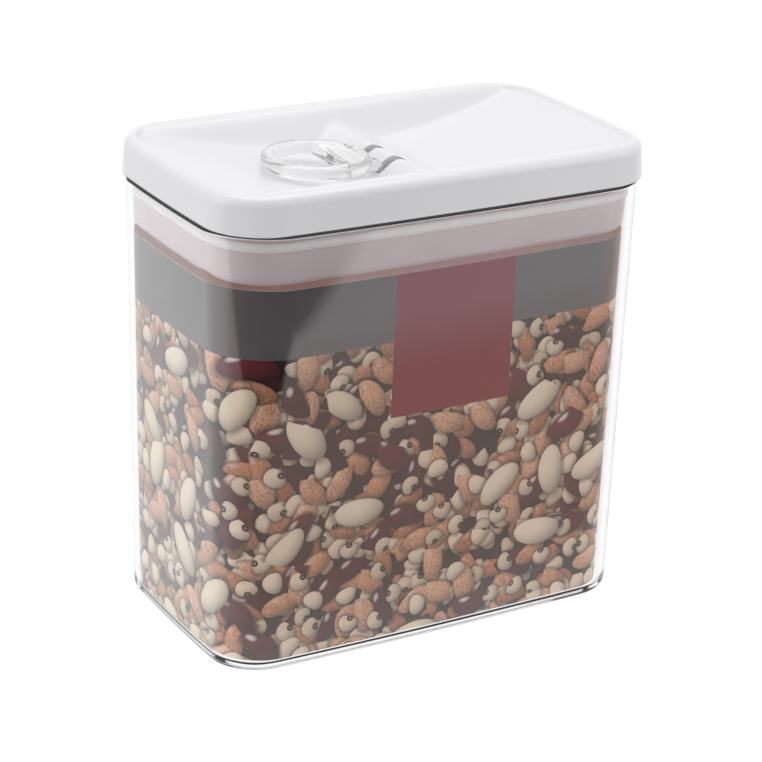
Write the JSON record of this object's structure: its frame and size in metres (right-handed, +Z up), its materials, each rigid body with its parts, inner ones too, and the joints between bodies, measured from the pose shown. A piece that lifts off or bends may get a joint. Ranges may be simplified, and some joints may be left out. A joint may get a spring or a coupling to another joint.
{
  "type": "clamp lid storage container",
  "caption": "Clear rectangular dry food keeper with a printed card sleeve and a white dished lid that a flip ring lever clamps and seals.",
  "frame": {"origin": "centre of the container's footprint, on the table", "axes": "+Z up, +X along the long side with the ring lever's ring on the -X side of the pivot, +Y to the back along the short side"},
  "size_m": [0.1842, 0.11, 0.1862],
  "materials": {
    "clear_styrene": "clear moulded styrene acrylonitrile, polished",
    "printed_card": "printed card, satin varnish",
    "white_abs": "gloss white moulded ABS",
    "white_pp": "satin white moulded polypropylene",
    "dark_tpe": "soft dark grey elastomer",
    "silicone": "translucent silicone",
    "stainless_steel": "plain stainless steel",
    "clear_acrylic": "clear moulded acrylic, polished"
  },
  "bodies": {
    "container": {"container_body": "clear_styrene", "printed_sleeve": "printed_card"},
    "lid": {"lid_cover": "white_abs", "inner_frame": "white_pp", "rim_seal": "dark_tpe", "cam_pad": "stainless_steel", "plate_gasket": "silicone"},
    "press_plate": {"press_plate": "white_pp", "pull_post": "white_pp", "post_screws": "stainless_steel", "pivot_pin": "stainless_steel"},
    "ring_lever": {"flip_ring": "clear_acrylic"}
  },
  "joints": [
    {"name": "lid_lift", "type": "slide", "parent": "container", "child": "lid", "axis": [0, 0, 1], "range_m": [0, 0.08]},
    {"name": "plate_drop", "type": "slide", "parent": "lid", "child": "press_plate", "axis": [0, 0, -1], "range_m": [0, 0.002], "deforming": ["plate_gasket"]},
    {"name": "ring_flip", "type": "hinge", "parent": "press_plate", "child": "ring_lever", "pos_m": [0, 0, 0.1745], "axis": [0, 1, 0], "range_deg": [0, 90]}
  ],
  "couplings": [
    {"joint": "plate_drop", "follows": "ring_flip", "m_per_rad": 0.0012732}
  ]
}
